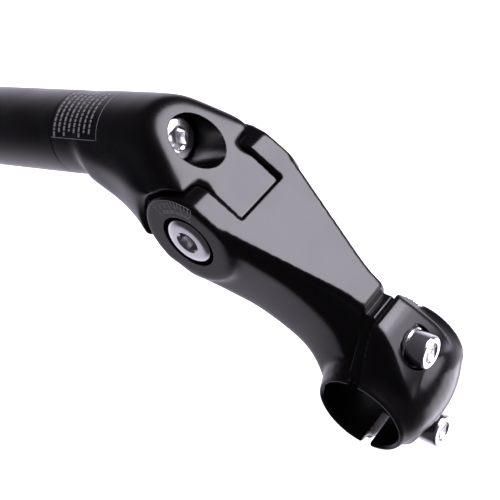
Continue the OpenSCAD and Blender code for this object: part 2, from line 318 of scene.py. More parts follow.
def block(name, outline, heights, place):
    """An upright block with the same outline at both heights."""
    return rolled(name, [[(x, y, z) for x, y in outline] for z in heights], place)


def blended(piece, passes):
    """Melts joined forms into one forging with soft edges."""
    apply_modifier(piece, "REMESH", mode="VOXEL", voxel_size=VOXEL * MM, adaptivity=0.0)
    apply_modifier(piece, "SMOOTH", factor=0.5, iterations=passes)


def smooth_where(piece, place, weight, passes):
    """Smooths only where a weight from 0 to 1, a function of a point's place, asks for it."""
    group = piece.vertex_groups.new(name="soft")
    inverse = place.inverted()
    for vertex in piece.data.vertices:
        share = weight((inverse @ vertex.co) / MM)
        if share > LEAST_WEIGHT:
            group.add([vertex.index], min(share, 1.0), "REPLACE")
    apply_modifier(piece, "SMOOTH", factor=0.5, iterations=passes, vertex_group="soft")
    piece.vertex_groups.remove(piece.vertex_groups["soft"])


def depth_below(p, slope, height):
    """How deep a point lies under a flat of a given slope, in degrees, and height over the pivot."""
    tilt = math.radians(slope)
    return height - (p.z * math.cos(tilt) - p.x * math.sin(tilt))


# ---------------------------------------------------------------- materials
def new_material(name):
    """A material, its node tree and its shader."""
    material = bpy.data.materials.new(name)
    material.use_nodes = True
    return material, material.node_tree, material.node_tree.nodes["Principled BSDF"]


def add_node(tree, kind, **values):
    """A node with values on its sockets, where an underscore stands for a space in a name."""
    node = tree.nodes.new("ShaderNode" + kind)
    for name, value in values.items():
        node.inputs[name.replace("_", " ")].default_value = value
    return node


def fine_bump(tree, shader, scale, depth):
    """Fine unevenness from noise on Object coordinates, its depth in millimetres."""
    place = add_node(tree, "TexCoord")
    noise = add_node(tree, "TexNoise", Scale=scale, Detail=3.0)
    relief = add_node(tree, "Bump", Distance=depth * MM, Strength=1.0)
    tree.links.new(place.outputs["Object"], noise.inputs["Vector"])
    tree.links.new(noise.outputs["Fac"], relief.inputs["Height"])
    tree.links.new(relief.outputs["Normal"], shader.inputs["Normal"])
    return place, noise, relief


def uneven_polish(tree, shader, noise, smooth, rough, noise_low=0.0, noise_high=1.0):
    """Lets the roughness follow a noise, from its smooth value to its rough one."""
    spread = add_node(
        tree, "MapRange", From_Min=noise_low, From_Max=noise_high, To_Min=smooth, To_Max=rough
    )
    tree.links.new(noise.outputs["Fac"], spread.inputs["Value"])
    tree.links.new(spread.outputs["Result"], shader.inputs["Roughness"])


def gloss_paint(name, base, roughness):
    """Deep black gloss paint with a faint orange peel, a cloudy polish and soft edges."""
    material, tree, shader = new_material(name)
    shader.inputs["Base Color"].default_value = (*base, 1)
    shader.inputs["IOR"].default_value = 1.45
    place, _, relief = fine_bump(tree, shader, scale=120.0, depth=0.012)
    clouds = add_node(tree, "TexNoise", Scale=55.0, Detail=2.0)
    tree.links.new(place.outputs["Object"], clouds.inputs["Vector"])
    uneven_polish(
        tree, shader, clouds,
        smooth=roughness * 0.75, rough=roughness * 1.35, noise_low=0.3, noise_high=0.7,
    )
    edge = add_node(tree, "Bevel", Radius=0.35 * MM)
    edge.samples = 6
    tree.links.new(edge.outputs["Normal"], relief.inputs["Normal"])
    return material


def bright_metal(name, base, roughness, scale):
    """Plated or machined metal with a fine uneven polish."""
    material, tree, shader = new_material(name)
    shader.inputs["Base Color"].default_value = (*base, 1)
    shader.inputs["Metallic"].default_value = 1.0
    _, noise, _ = fine_bump(tree, shader, scale, depth=0.004)
    uneven_polish(tree, shader, noise, smooth=roughness * 0.7, rough=roughness * 1.4)
    return material


def printed_ink(name, base, roughness):
    """Thin printed ink, worn unevenly to under half of its colour."""
    material, tree, shader = new_material(name)
    shader.inputs["Roughness"].default_value = roughness
    _, noise, _ = fine_bump(tree, shader, scale=1500.0, depth=0.003)
    wear = add_node(tree, "Mix")
    wear.data_type = "RGBA"
    wear.inputs["A"].default_value = (*(0.45 * c for c in base), 1)
    wear.inputs["B"].default_value = (*base, 1)
    tree.links.new(noise.outputs["Fac"], wear.inputs["Factor"])
    tree.links.new(wear.outputs["Result"], shader.inputs["Base Color"])
    return material


black_paint = gloss_paint("gloss_black_paint", (0.0016, 0.0011, 0.0014), roughness=0.22)
print_grey = printed_ink("print_grey", (0.16, 0.155, 0.17), roughness=0.45)
chrome = bright_metal("chrome_plate", (0.9, 0.89, 0.91), roughness=0.2, scale=300.0)
steel = bright_metal("zinc_steel", (0.55, 0.55, 0.57), roughness=0.28, scale=900.0)
alloy = bright_metal("machined_alloy", (0.6, 0.6, 0.62), roughness=0.32, scale=900.0)

# ---------------------------------------------------------------- shared sizes, in millimetres
AWAY = 60.0  # past the far side of every form
VOXEL = 0.5
LEAST_WEIGHT = 0.01
FORGED_SHARP = 35  # degrees at which a forging's shading breaks
HALF_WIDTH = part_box("extension_arm")[1].y / MM
BAR_R = mounts["handlebar"]["dims"]["r_mm"]
QUILL_R = mounts["quill"]["dims"]["r_mm"]
PIVOT_Z = pivot.z / MM
SEAM_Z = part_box("stem_head")[0].z / MM
ARM_LENGTH = 70
PRONG_R = 15.6
PRONG_INNER = 9.4
CROTCH_R = 16.7
TONGUE_HALF = 9.1
BUSH_R = 6.0
SHAFT_HOLE_R = 4.3  # round both 8 mm bolts
ARM_FLAT_TILT = 9.5
ARM_FLAT_HEIGHT = 15.0
HEAD_FLAT_SLOPE = 35.0
HEAD_FLAT_HEIGHT = 14.0
SPLIT_HALF = 1.4
BOLT_REACH = 18.0
arm_flat = tipped(at_arm, -ARM_FLAT_TILT)
head_flat = tipped(level_pivot, -HEAD_FLAT_SLOPE)


def lying(place, side=1):
    """A place with its Z laid along its old Y, or against it for side -1."""
    return tipped(place, -90 * side, "X")


def at_bolt(side):
    """The place of one clamp bolt: the upper one has side -1, the lower one side 1."""
    return moved(at_clamp, x=side * BOLT_REACH)


def pivot_bar(radius, start, end):
    """A round bar along the pivot, from the right side to the left."""
    return cutter_of([(radius, start), (radius, end)], lying(level_pivot), sides=128)


def bar_hole():
    """The handlebar's place through the clamp."""
    return cutter_of([(BAR_R, -HALF_WIDTH), (BAR_R, HALF_WIDTH)], lying(at_clamp), sides=128)


def bolt_bar(radius, side, start, end):
    """A round bar along one clamp bolt."""
    return cutter_of([(radius, start), (radius, end)], at_bolt(side), sides=64)


# ---------------------------------------------------------------- handlebar clamp
CLAMP_CROWN_R = 18.4
CLAMP_SHOULDER_R = 14.6
CLAMP_SHOULDER_Y = 15.4
CLAMP_RIM = [(14.4, 16.3), (14.1, 17.0), (13.9, 17.5)]
CLAMP_END_Y = 17.25
BAR_HOLE_FLARE = [(BAR_R - 1.2, 15.6), (BAR_R, 16.6), (BAR_R + 1.2, 17.9)]


def crowned_band():
    """The crowned round of the handlebar clamp, solid, with thin bevelled rims."""
    drop = CLAMP_CROWN_R - CLAMP_SHOULDER_R
    big = (CLAMP_SHOULDER_Y**2 + drop**2) / (2 * drop)
    half = [
        (CLAMP_CROWN_R - big + math.sqrt(big**2 - y * y), y)
        for y in (0, 3, 6, 9, 12, 14, CLAMP_SHOULDER_Y)
    ]
    half += CLAMP_RIM
    outline = [(r, -y) for r, y in reversed(half[1:])] + half
    return turned("band", outline, lying(at_clamp), sides=160)


def split_cutter(side):
    """Everything above the jaw (side 1) or below the faceplate (side -1)."""
    if side > 0:
        return box_of((-AWAY, -AWAY, -SPLIT_HALF), (AWAY, AWAY, AWAY), at_clamp)
    return box_of((-AWAY, -AWAY, -AWAY), (AWAY, AWAY, SPLIT_HALF), at_clamp)


def true_rims(piece):
    """Turns both ends of the clamp flat and breaks the edges of the bar hole."""
    for side in (-1, 1):
        start, end = sorted((side * CLAMP_END_Y, side * AWAY))
        cut(piece, box_of((-22, start, -25), (25, end, 25), at_clamp))
        cut(piece, cutter_of(BAR_HOLE_FLARE, lying(at_clamp, side), sides=128))


# ---------------------------------------------------------------- extension arm
# half width of the arm's flat top, half width of its flank, height of the flank's upper edge,
# size of the lower corner and height of the underside, each against the distance from the pivot
ARM_FLAT = [(-8, 17.4), (0, 17.1), (8, 15.5), (15, 13.4), (27, 9.7), (39, 6.2), (46, 5.4), (60, 6.5)]
ARM_FLANK = [
    (0, 17.75), (8, 17.3), (17, 14.9), (28, 12.3), (38, 10.8), (47, 10.2), (54, 11.2), (60, 13.0),
]
ARM_RIDGE = [(0, 13.6), (8, 12.8), (17, 13.4), (27, 14.3), (42, 12.9), (50, 10.0), (60, 4.0)]
ARM_CORNER = [(0, 1.0), (12, 2.2), (28, 5.0)]
ARM_UNDER = [
    (0, -15.5), (10, -14.8), (20, -13.3), (30, -11.8),
    (40, -11.0), (48, -11.2), (54, -12.4), (60, -14.5),
]
ARM_RINGS = [1 + 1.5 * i for i in range(40)]
LUG_CORE = ((8, -6.4, -9.5), (23.5, 6.4, 0))
LUG_OUTLINE = [(11, -15.4), (17, -13.4), (23.6, -6.4), (23.6, 6.4), (17, 13.4), (11, 15.4)]
LUG_HEIGHTS = (-5.5, 0)
PAD_OUTLINE = [(-30, -4.6), (-22, -8.6), (-12.7, -16), (-12.7, 16), (-22, 8.6), (-30, 4.6)]
PAD_HEIGHTS = (-3, SPLIT_HALF - 0.1)
PIVOT_HEAD_BORE_R, PIVOT_HEAD_SEAT = 8.85, -12.6
NUT_FLANGE_BORE_R, NUT_FLANGE_DEPTH = 8.05, 1.6
TAPPED_R, TAPPED_DEPTH = 3.05, -11.4


def arm_ring(u):
    """One cross-section of the arm: flat top, hollow under its edge, flank, rounded underside."""
    tilt = math.radians(ARM_FLAT_TILT)
    top = (ARM_FLAT_HEIGHT + u * math.sin(tilt)) / math.cos(tilt) + 1
    a, b = curve(ARM_FLAT, u), curve(ARM_FLANK, u)
    ridge, under, corner = curve(ARM_RIDGE, u), curve(ARM_UNDER, u), curve(ARM_CORNER, u)
    hollow = (a + 0.1 * (b - a), ridge + 0.25 * (top - ridge))
    half = [(0, top), (a / 2, top), (a, top)]
    half += arc_through((a, top - 1), hollow, (b, ridge), 8)
    low_flank = (b - 0.3, under + corner)
    half += arc_through((b, ridge), (b + 0.3, (ridge + under) / 2), low_flank, 5)
    turn_in = b - 0.5 - corner
    half += arc_through(low_flank, (b - 0.5, under), (turn_in, under - 0.1), 6)
    half += [(turn_in, under - 0.1), (turn_in / 2, under - 0.4), (0, under - 0.5)]
    return [(u, y, z) for y, z in mirrored_outline(half)]


def neck_weight(p):
    """The arm between the prongs and the clamp, below its flat top."""
    deep = step_up(1.5, 5, depth_below(p, ARM_FLAT_TILT, ARM_FLAT_HEIGHT))
    return deep * step_up(0, 5, p.x) * step_up(17, 21, math.hypot(p.x - ARM_LENGTH, p.z))


def flat_edge_weight(p):
    """A narrow band along both edges of the arm's flat top."""
    shallow = 1 - step_up(1.2, 2.6, depth_below(p, ARM_FLAT_TILT, ARM_FLAT_HEIGHT))
    edge = curve(ARM_FLAT, p.x)
    return 0.8 * shallow * step_up(edge - 1.8, edge - 0.4, abs(p.y))


def build_arm():
    """The forged arm: prongs with discs, neck, jaw with its lug, and the pad under the faceplate."""
    arm = rolled("extension_arm_forging", [arm_ring(u) for u in ARM_RINGS], at_arm)
    join(arm, pivot_bar(PRONG_R, -HALF_WIDTH, HALF_WIDTH))
    cut(arm, box_of((-AWAY, -AWAY, ARM_FLAT_HEIGHT), (2 * AWAY, AWAY, AWAY), arm_flat))
    join(arm, crowned_band())
    join(arm, box_of(*LUG_CORE, at_clamp))
    join(arm, block("lug", LUG_OUTLINE, LUG_HEIGHTS, at_clamp))
    cut(arm, split_cutter(1))
    cut(arm, pivot_bar(CROTCH_R, -PRONG_INNER, PRONG_INNER))
    blended(arm, passes=18)
    smooth_where(arm, at_arm, neck_weight, passes=60)
    smooth_where(arm, at_arm, flat_edge_weight, passes=24)
    cut(arm, split_cutter(1))
    cut(arm, pivot_bar(CROTCH_R, -PRONG_INNER, PRONG_INNER))
    pad = block("pad", PAD_OUTLINE, PAD_HEIGHTS, at_clamp)
    soften(pad, width=0.35)
    join(arm, pad)
    cut(arm, bar_hole())
    true_rims(arm)
    cut(arm, pivot_bar(SHAFT_HOLE_R, -AWAY, 0))
    cut(arm, pivot_bar(PIVOT_HEAD_BORE_R, -AWAY, PIVOT_HEAD_SEAT))
    cut(arm, pivot_bar(BUSH_R, 0, AWAY))
    cut(arm, pivot_bar(NUT_FLANGE_BORE_R, HALF_WIDTH - NUT_FLANGE_DEPTH, AWAY))
    for side in (-1, 1):
        cut(arm, bolt_bar(TAPPED_R, side, TAPPED_DEPTH, 3))
    finish_piece(arm, "arm", black_paint, "black_paint", "extension_arm", sharp=FORGED_SHARP)


# ---------------------------------------------------------------- stem head
SPIGOT_R = 10.9
HUB_R = 12.2
COLLAR_OUTSIDE_R = 14
SKIRT = [(QUILL_R - 0.3, SEAM_Z - 5), (QUILL_R + 0.02, SEAM_Z), (QUILL_R + 0.02, SEAM_Z + 12)]
BACK_EDGE_X, BACK_EDGE_SLOPE = -31.5, -24
CHEEK_HOLLOW, CHEEK_START, CHEEK_LENGTH = 1.9, -43, 33  # depth, foot under the pivot, height
KEY_BORE_R, KEY_BORE_MARK_R = 7.5, 7.58
KEY_BORE_FLOOR, KEY_BORE_MARKS_END, KEY_BORE_TOP = 96.0, 120, 150.0
MARK_START, MARK_DEEPEST, MARK_PITCH = 0.35, 0.5, 0.65
POINTER_NOTCH = ((-21.2, -AWAY, -0.22), (-18.4, -16.6, 0.22))


def hollow_cheeks(head):
    """Draws both cheeks in between the collar and the pivot boss."""
    inverse = level_pivot.inverted()
    for vertex in head.data.vertices:
        p = inverse @ vertex.co / MM
        t = min(max((p.z - CHEEK_START) / CHEEK_LENGTH, 0), 1)
        away = step_up(17, 21, math.hypot(p.x, p.z)) * step_up(-26, -14, p.x)
        draw = CHEEK_HOLLOW * math.sin(math.pi * t) ** 2 * away * step_up(6, 13, abs(p.y))
        p.y -= math.copysign(draw, p.y)
        vertex.co = level_pivot @ (p * MM)


def cheek_weight(p):
    """The cheeks fully, the rim behind the flat top, and the shoulders' tips a little."""
    depth = depth_below(p, HEAD_FLAT_SLOPE, HEAD_FLAT_HEIGHT)
    cheeks = step_up(17.5, 22, math.hypot(p.x, p.z)) * step_up(1.5, 5, depth)
    back_rim = step_up(14, 20, -p.x) * (1 - step_up(1.5, 6, depth))
    tips = step_up(12.5, 15, abs(p.y)) * (1 - step_up(1, 5, depth)) * 0.2
    return max(cheeks, back_rim, tips)


def back_rim_weight(p):
    """The round edge between the flat top and the head's back."""
    depth = depth_below(p, HEAD_FLAT_SLOPE, HEAD_FLAT_HEIGHT)
    return step_up(10, 17, -p.x) * (1 - step_up(3, 9, depth))


def key_bore():
    """The bore for the long key, with fine turning marks in its wall."""
    outline, height = [(KEY_BORE_R, KEY_BORE_FLOOR)], KEY_BORE_FLOOR
    while height < KEY_BORE_MARKS_END:
        outline += [
            (KEY_BORE_R, height + MARK_START),
            (KEY_BORE_MARK_R, height + MARK_DEEPEST),
            (KEY_BORE_R, height + MARK_PITCH),
        ]
        height += MARK_PITCH
    outline += [(KEY_BORE_R, KEY_BORE_TOP)]
    return cutter_of(outline, at_quill, sides=128)


def build_head():
    """The forged head, melted from its plain node and drawn in along its cheeks."""
    head = copy_of("stem_head", "stem_head_forging")
    join(head, turned("plug", [(SPIGOT_R, SEAM_Z - 2), (SPIGOT_R, PIVOT_Z + 30)], at_quill))
    join(head, pivot_bar(HUB_R, -TONGUE_HALF, TONGUE_HALF))
    outside = [(COLLAR_OUTSIDE_R, SEAM_Z + 12), (COLLAR_OUTSIDE_R, SEAM_Z - 5)]
    cut(head, cutter_of(SKIRT + outside + SKIRT[:1], at_quill, sides=160))
    join(head, turned("skirt", SKIRT, at_quill, sides=160))
    back_edge = tipped(moved(head_flat, x=BACK_EDGE_X, z=HEAD_FLAT_HEIGHT), BACK_EDGE_SLOPE)
    cut(head, box_of((-AWAY, -AWAY, 0), (0, AWAY, AWAY), back_edge))
    cut(head, box_of((-AWAY, -AWAY, HEAD_FLAT_HEIGHT), (AWAY, AWAY, 2 * AWAY), head_flat))
    blended(head, passes=14)
    hollow_cheeks(head)
    smooth_where(head, level_pivot, cheek_weight, passes=80)
    smooth_where(head, level_pivot, back_rim_weight, passes=200)
    cut(head, box_of((-AWAY, -AWAY, -AWAY), (AWAY, AWAY, SEAM_Z - 3), at_quill))
    cut(head, pivot_bar(BUSH_R, -AWAY, AWAY))
    cut(head, key_bore())
    cut(head, cutter_of([(SHAFT_HOLE_R, SEAM_Z - 5), (SHAFT_HOLE_R, 100)], at_quill))
    cut(head, box_of(*POINTER_NOTCH, level_pivot))
    finish_piece(head, "stem", black_paint, "black_paint", "stem_head", sharp=FORGED_SHARP)


# ---------------------------------------------------------------- faceplate
# top of the faceplate's rib, its half width there and at its foot, against the distance from the bar
RIB_TOP = [(10, 14.7), (12, 14.0), (16, 12.2), (20, 10.1), (24, 7.7), (27, 5.3), (29, 3.2)]
RIB_HALF = [(10, 11.5), (14, 11.6), (18, 10.6), (24, 8.4), (29, 6.2)]
RIB_FOOT = [(10, 16.8), (15, 16.0), (20, 13.4), (25, 10.0), (29, 7.0)]
RIB_LENGTH = 29
RIB_START = 8
RIB_STEPS = 12
PLATE_HOLE_R = 3.3
COUNTERBORE_R, COUNTERBORE_FLOOR, COUNTERBORE_TOP = 6.2, 8.6, 30


def rib_ring(side, reach, s):
    """One cross-section of the rib, whose sides flare out in a hollow curve."""
    scale = RIB_LENGTH / reach
    top, half_width, foot = (curve(points, s * scale) for points in (RIB_TOP, RIB_HALF, RIB_FOOT))
    half = [(0, top), (half_width - 0.8, top - 0.05), (half_width, top - 0.7)]
    half += arc_through((half_width, top - 0.9), (half_width + 0.2, 2.6), (foot, 1.6), 6)
    half += [(foot, 1.6), (foot, 0), (0, 0)]
    return [(side * s, y, z) for y, z in mirrored_outline(half)]


def flare_weight(p):
    """The hollow flares between the rib and the crowned round."""
    y = abs(p.y)
    return step_up(6, 9, y) * step_up(2.4, 4, p.z) * (1 - step_up(14, 16, y))


def build_faceplate():
    """The front half of the clamp, with a rib that carries both bolts."""
    plate = crowned_band()
    plate.name = plate.data.name = "bar_faceplate_forging"
    for side, reach in ((-1, 29.0), (1, 25.0)):
        length = reach - RIB_START
        rings = [
            rib_ring(side, reach, RIB_START + length * i / RIB_STEPS)
            for i in range(RIB_STEPS + 1)
        ]
        join(plate, rolled("rib", rings, at_clamp))
    cut(plate, split_cutter(-1))
    blended(plate, passes=8)
    smooth_where(plate, at_clamp, flare_weight, passes=50)
    cut(plate, split_cutter(-1))
    cut(plate, bar_hole())
    true_rims(plate)
    for side in (-1, 1):
        cut(plate, bolt_bar(PLATE_HOLE_R, side, 0, COUNTERBORE_TOP))
        cut(plate, bolt_bar(COUNTERBORE_R, side, COUNTERBORE_FLOOR, COUNTERBORE_TOP))
    finish_piece(
        plate, "faceplate", black_paint, "black_paint", "bar_faceplate", sharp=FORGED_SHARP
    )


# ---------------------------------------------------------------- screws and turned parts
# shaft and head radius, heights of tip, seat and top, width and height of the head's rounded edge,
# the socket's key width and depth, and the thread's pitch and length
PIVOT_BOLT = dict(
    shaft=4.0, head=7.5, tip=-16.75, under=13.8, top=18.3,
    rounding=(2.1, 1.0), key=6.0, depth=3.0, pitch=1.25, thread=12,
)
CLAMP_BOLT = dict(
    shaft=3.0, head=5.0, tip=-10.35, under=9.65, top=15.65,
    rounding=(0.9, 0.8), key=5.0, depth=3.5, pitch=1.0, thread=13,
)
EXPANDER_BOLT = dict(
    shaft=4.0, head=6.5, tip=-96.89, under=97.65, top=105.65,
    rounding=(1.0, 0.9), key=6.0, depth=4.5, pitch=1.25, thread=24,
)
TIP_HEIGHT = 0.6
ROUNDING_STEPS = 5
RINGS_PER_TURN = 6
ON_SHAFT = 0.05
THREAD_DEPTH, THREAD_SHARE = 0.55, 0.9  # full depth over pitch, and the share of it that is cut
NUT_OUTLINE = [
    (4.05, -9.4), (5.7, -9.4), (6.0, -9.7), (6.0, -16.15), (8.0, -16.15),
    (8.0, -17.35), (7.6, -17.75), (4.5, -17.75), (4.05, -17.3), (4.05, -9.4),
]


def corner_radius(key):
    """The radius of a key's corners, from its width across flats."""
    return key / 2 / math.cos(math.radians(30))


def key_socket(key, low, high, place):
    """A hexagon with a pointed bottom, to cut a socket."""
    radius = corner_radius(key)
    outline = [(radius * 0.1, low - 0.9), (radius, low), (radius, high)]
    return cutter_of(outline, place, sides=6)


def threaded(piece, place, radius, start, end, pitch):
    """Winds a thread into the plain rings of a shaft."""
    inverse = place.inverted()
    for vertex in piece.data.vertices:
        p = inverse @ vertex.co / MM
        out = math.hypot(p.x, p.y)
        if start < p.z < end and abs(out - radius) < ON_SHAFT:
            phase = (p.z / pitch - math.atan2(p.y, p.x) / (2 * math.pi)) % 1
            depth = THREAD_DEPTH * pitch * (1 - abs(2 * phase - 1)) * THREAD_SHARE
            p = Vector((p.x * (out - depth) / out, p.y * (out - depth) / out, p.z))
            vertex.co = place @ (p * MM)


def socket_screw(name, place, shaft, head, tip, under, top, rounding, key, depth, pitch, thread):
    """A socket screw: bevelled tip, wound thread, plain shank and a head with a hexagon socket."""
    wide, tall = rounding
    thread_start = tip + TIP_HEIGHT
    outline = [(shaft - 0.9, tip), (shaft, thread_start)]
    count = math.ceil(thread / (pitch / RINGS_PER_TURN))
    outline += [(shaft, thread_start + thread * (i + 1) / count) for i in range(count)]
    outline += [(shaft, under), (head - 0.25, under), (head, under + 0.25)]
    for i in range(ROUNDING_STEPS + 1):
        turn = math.radians(90 * i / ROUNDING_STEPS)
        outline.append((head - wide * (1 - math.cos(turn)), top - tall * (1 - math.sin(turn))))
    screw = turned(name, outline, place)
    threaded(screw, place, shaft, tip + 0.7, thread_start + thread - 0.1, pitch)
    cut(screw, key_socket(key, top - depth, top + 2, place))
    rim = corner_radius(key)
    flare = [(rim - 0.5, top - 0.7), (rim + 0.2, top - 0.1), (rim + 0.45, top + 0.25)]
    cut(screw, cutter_of(flare, place, sides=64))
    return screw


def washer(name, place, hole, outer, low, high, bevel=0.2):
    """A turned ring with broken edges."""
    outline = [
        (hole, low), (outer - bevel, low), (outer, low + bevel), (outer, high - bevel),
        (outer - bevel, high), (hole + bevel, high), (hole, high - bevel), (hole, low),
    ]
    return turned(name, outline, place)


def chrome_piece(piece, body, node):
    """Finishes a chromed screw or washer. A screw breaks its shading at a smaller angle."""
    sharp = 32 if node.endswith("bolt") else 40
    finish_piece(piece, body, chrome, "chrome_bolt", node, sharp=sharp)


def build_screws():
    """The pivot bolt, both clamp bolts with their washers, and the expander bolt."""
    screw = socket_screw("pivot_bolt_machined", at_screw, **PIVOT_BOLT)
    chrome_piece(screw, "pivot_screw", "pivot_bolt")
    for side, label in ((-1, "upper"), (1, "lower")):
        place = at_bolt(side)
        screw = socket_screw(label + "_clamp_bolt_machined", place, **CLAMP_BOLT)
        chrome_piece(screw, label + "_screw", label + "_clamp_bolt")
        ring = washer(
            label + "_clamp_washer_turned", place,
            hole=PLATE_HOLE_R, outer=5.5, low=COUNTERBORE_FLOOR, high=9.6,
        )
        chrome_piece(ring, "faceplate", label + "_clamp_washer")
    screw = socket_screw("expander_bolt_machined", at_quill, **EXPANDER_BOLT)
    chrome_piece(screw, "expander_screw", "expander_bolt")


def build_rings():
    """Washers, bush, friction rings and the nut's sleeve."""
    ring = washer(
        "expander_washer_turned", at_quill,
        hole=SHAFT_HOLE_R, outer=7.2, low=KEY_BORE_FLOOR, high=97.6, bevel=0.3,
    )
    chrome_piece(ring, "stem", "expander_washer")
    ring = washer(
        "pivot_washer_turned", at_screw, hole=SHAFT_HOLE_R, outer=8.0, low=12.55, high=13.75
    )
    finish_piece(ring, "pivot_spacer", steel, "plain_steel", "pivot_washer")
    ring = washer(
        "pivot_bush_turned", at_screw,
        hole=4.05, outer=BUSH_R, low=-TONGUE_HALF, high=TONGUE_HALF, bevel=0.3,
    )
    finish_piece(ring, "stem", steel, "plain_steel", "pivot_bush")
    for side, label in ((1, "right"), (-1, "left")):
        low, high = sorted((side * 8.1, side * 9.3))
        ring = washer(
            "friction_ring_" + label + "_turned", at_screw,
            hole=6.05, outer=11.5, low=low, high=high,
        )
        finish_piece(ring, "stem", steel, "plain_steel", "friction_ring_" + label)
    nut = turned("pivot_nut_turned", NUT_OUTLINE, at_screw)
    finish_piece(nut, "arm", steel, "plain_steel", "pivot_nut")


# ---------------------------------------------------------------- quill tube and wedge
SLANT = 35  # degrees
SLANT_Z = -68  # middle of the tube's slanted end
QUILL_END = SLANT_Z - QUILL_R * math.tan(math.radians(SLANT))
QUILL_BORE_R = 8.7
QUILL_TOP = 61.7
QUILL_RINGS = 30
WEDGE_R, WEDGE_HOLE_R, WEDGE_TOP = 12.5, 4.05, -50.0
WEDGE_FOOT = QUILL_END - 16
WEDGE_GAP = 0.05


def slanted(height):
    """The plane of the slanted end, at a height."""
    return tipped(Matrix.Translation((0, 0, height * MM)), SLANT)


def build_quill():
    """The tube, with a spigot inside the collar, and the wedge under its slanted end."""
    outline = [(QUILL_BORE_R, QUILL_END), (QUILL_R, QUILL_END)]
    outline += [
        (QUILL_R, QUILL_END + (QUILL_TOP - QUILL_END) * i / QUILL_RINGS)
        for i in range(1, QUILL_RINGS)
    ]
    outline += [
        (QUILL_R, QUILL_TOP), (QUILL_R, 62.4), (QUILL_R - 0.5, 66.0), (10.7, 66.0),
        (10.7, 81.4), (10.2, 81.95), (QUILL_BORE_R, 81.95), (QUILL_BORE_R, QUILL_END),
    ]
    tube = turned("quill_tube_turned", outline, at_quill, sides=128)
    cut(tube, box_of((-AWAY, -AWAY, -2 * AWAY), (AWAY, AWAY, 0), slanted(SLANT_Z)))
    finish_piece(tube, "stem", black_paint, "black_paint", "quill_tube")
    outline = [
        (WEDGE_HOLE_R, WEDGE_FOOT), (11.3, WEDGE_FOOT), (WEDGE_R, WEDGE_FOOT + 1.2),
        (WEDGE_R, WEDGE_TOP), (WEDGE_HOLE_R, WEDGE_TOP), (WEDGE_HOLE_R, WEDGE_FOOT),
    ]
    wedge = turned("expander_wedge_turned", outline, at_quill, sides=128)
    plane = slanted(SLANT_Z - WEDGE_GAP)
    cut(wedge, box_of((-AWAY, -AWAY, 0), (AWAY, AWAY, 2 * AWAY), plane))
    soften(wedge, width=0.3, angle=40, segments=2)
    finish_piece(wedge, "wedge", alloy, "raw_alloy", "expander_wedge")


# ---------------------------------------------------------------- printed marks
INK_LOW, INK_HIGH = -0.04, 0.03  # under and over the painted face
DIGIT_BARS = {
    "0": "abcdef", "1": "bc", "2": "abged", "3": "abgcd", "4": "fgbc", "5": "afgcd", "6": "afgedc",
}
FIGURE_HALF_WIDTH, FIGURE_BAR, FIGURE_HALF_STROKE = 0.3, 0.5, 0.08
FIGURE_R, FIGURE_PITCH = 10.9, 0.85
MARK_OUTER_R, TENS_INNER_R, FIVES_INNER_R, MARK_HALF = 14.7, 12.1, 13.1, 0.09
SCALE_RIM_R, SCALE_RIM_HALF_LENGTH = (14.85, 14.97), 0.4
SCALE_END_ANGLE, SCALE_END_R, SCALE_END_HALF = 116, (9.3, 15.0), 0.08


def joined(name, pieces):
    """Puts loose pieces together as one, without merging them."""
    bpy.ops.object.select_all(action="DESELECT")
    for piece in pieces:
        piece.select_set(True)
    bpy.context.view_layer.objects.active = pieces[0]
    bpy.ops.object.join()
    pieces[0].name = pieces[0].data.name = name
    return pieces[0]


def ink_bar(low, high, place):
    """A thin bar of ink between two flat corners."""
    return box_of((*low, INK_LOW), (*high, INK_HIGH), place)


def digit(figure, place):
    """The bars of one figure, standing on its place."""
    w, h, t = FIGURE_HALF_WIDTH, FIGURE_BAR, FIGURE_HALF_STROKE
    spans = {
        "a": ((-w, h - t), (w, h + t)), "g": ((-w, -t), (w, t)), "d": ((-w, -h - t), (w, t - h)),
        "f": ((-w - t, 0), (t - w, h)), "b": ((w - t, 0), (w + t, h)),
        "e": ((-w - t, -h), (t - w, 0)), "c": ((w - t, -h), (w + t, 0)),
    }
    return [ink_bar(*spans[letter], place) for letter in DIGIT_BARS[figure]]


def on_scale(angle):
    """The right prong's face, turned to an angle of the scale."""
    return tipped(moved(at_pivot, z=HALF_WIDTH), angle, "Z")


def build_scale():
    """Angle marks every five degrees on the right side of the fork, with figures for the tens."""
    bars = []
    for value in range(0, 61, 5):
        ten = value % 10 == 0
        turn = on_scale(180 - value)
        inner = TENS_INNER_R if ten else FIVES_INNER_R
        bars.append(ink_bar((inner, -MARK_HALF), (MARK_OUTER_R, MARK_HALF), turn))
        text = str(value) if ten else ""
        for i, figure in enumerate(text):
            side = (i - (len(text) - 1) / 2) * FIGURE_PITCH
            spot = tipped(moved(turn, x=FIGURE_R), -90, "Z")
            bars += digit(figure, moved(spot, x=side))
    rim_low, rim_high = SCALE_RIM_R
    for value in range(-2, 64, 3):
        low, high = (rim_low, -SCALE_RIM_HALF_LENGTH), (rim_high, SCALE_RIM_HALF_LENGTH)
        bars.append(ink_bar(low, high, on_scale(180 - value)))
    start, end = SCALE_END_R
    line = (start, -SCALE_END_HALF), (end, SCALE_END_HALF)
    bars.append(ink_bar(*line, on_scale(SCALE_END_ANGLE)))
    finish_piece(joined("angle_scale", bars), "arm", print_grey, "black_paint")


PRINT_R = 12.9
PRINT_INNER_R = 12.5
PRINT_ROWS, PRINT_FIRST_Z, PRINT_PITCH = 8, 64.5, 2.4
PRINT_ANGLES = (166.0, 232)
PRINT_GAP, PRINT_THICK = 0.35, 0.75
FRAME_LINE = 0.16
FRAME_TOP_Z, FRAME_SIDE_ANGLE = 84.6, 240


